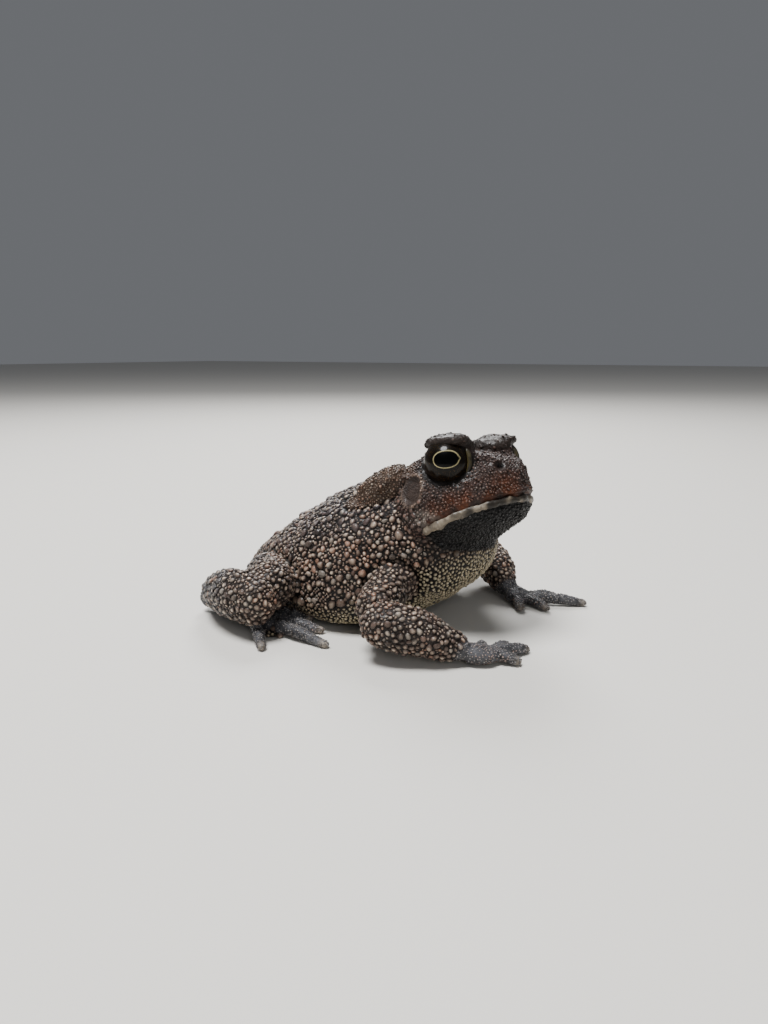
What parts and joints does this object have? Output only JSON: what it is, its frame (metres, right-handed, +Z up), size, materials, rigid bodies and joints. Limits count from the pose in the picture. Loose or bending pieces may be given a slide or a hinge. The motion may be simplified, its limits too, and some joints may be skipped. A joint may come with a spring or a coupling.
{
  "type": "american toad",
  "caption": "Life-size American toad model, sitting with head raised: warty body, ridged eyes, oval glands behind them, folded hind legs and spread webbed feet.",
  "frame": {"origin": "on the ground under the middle of the toad's bounding box", "axes": "the toad faces -Y, its left side is +X, +Z is up"},
  "size_m": [0.0794, 0.0782, 0.0432],
  "materials": {
    "skin": "warty, dark grey-brown with tan warts, slightly moist",
    "eye": "wet, glossy, near-black with gold flecks and a pale ring round the pupil"
  },
  "bodies": {
    "root": {"torso": "skin", "head": "skin", "lower_jaw": "skin", "eye_right": "eye", "ear_right": "skin", "parotoid_right": "skin", "upper_arm_right": "skin", "forearm_right": "skin", "hand_right": "skin", "thigh_right": "skin", "shank_right": "skin", "foot_right": "skin", "eye_left": "eye", "ear_left": "skin", "parotoid_left": "skin", "upper_arm_left": "skin", "forearm_left": "skin", "hand_left": "skin", "thigh_left": "skin", "shank_left": "skin", "foot_left": "skin"}
  },
  "joints": []
}
